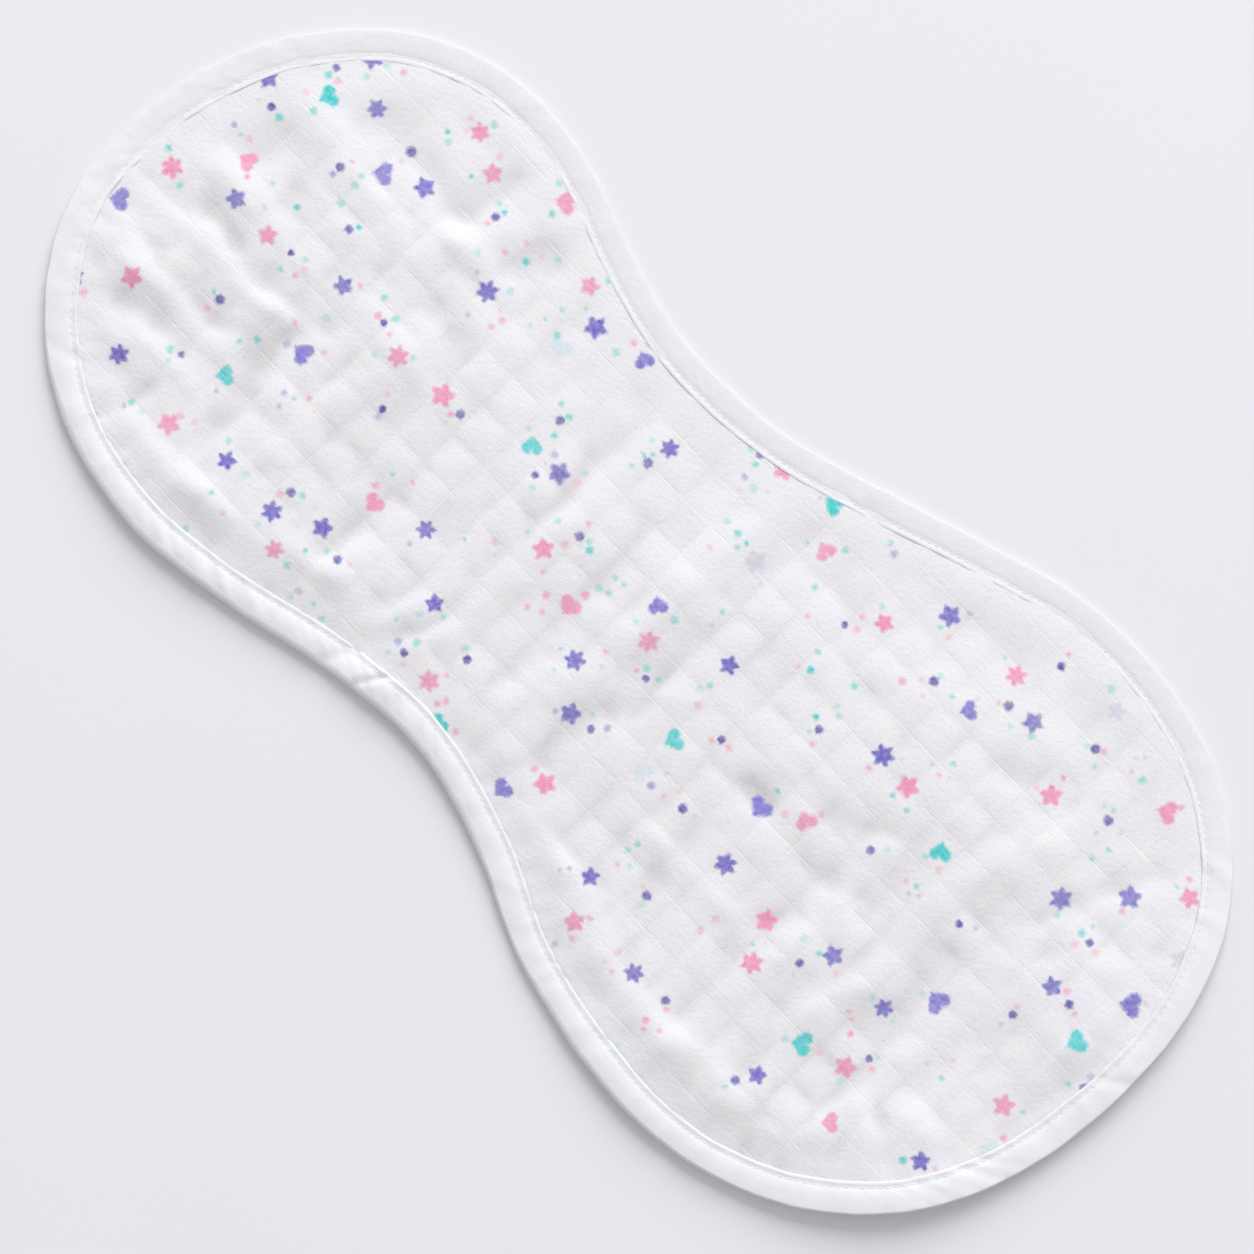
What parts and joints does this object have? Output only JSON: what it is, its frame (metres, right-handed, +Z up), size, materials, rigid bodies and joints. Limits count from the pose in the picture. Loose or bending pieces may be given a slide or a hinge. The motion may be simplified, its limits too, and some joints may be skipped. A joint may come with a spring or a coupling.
{
  "type": "burp cloth",
  "caption": "Peanut-shaped muslin burp cloth that lies flat, quilted in small squares and bound all round with a folded bias strip.",
  "frame": {"origin": "on the table, under the middle of the cloth's box", "axes": "+X along the cloth from its narrow lobe to its wide lobe, +Y across it, +Z up out of the table"},
  "size_m": [0.508, 0.2526, 0.006],
  "materials": {
    "muslin": "matt, crinkled and printed with small scattered shapes",
    "bias_strip": "matt plain-woven white cotton"
  },
  "bodies": {
    "root": {"muslin_panel": "muslin", "edge_binding": "bias_strip"}
  },
  "joints": []
}
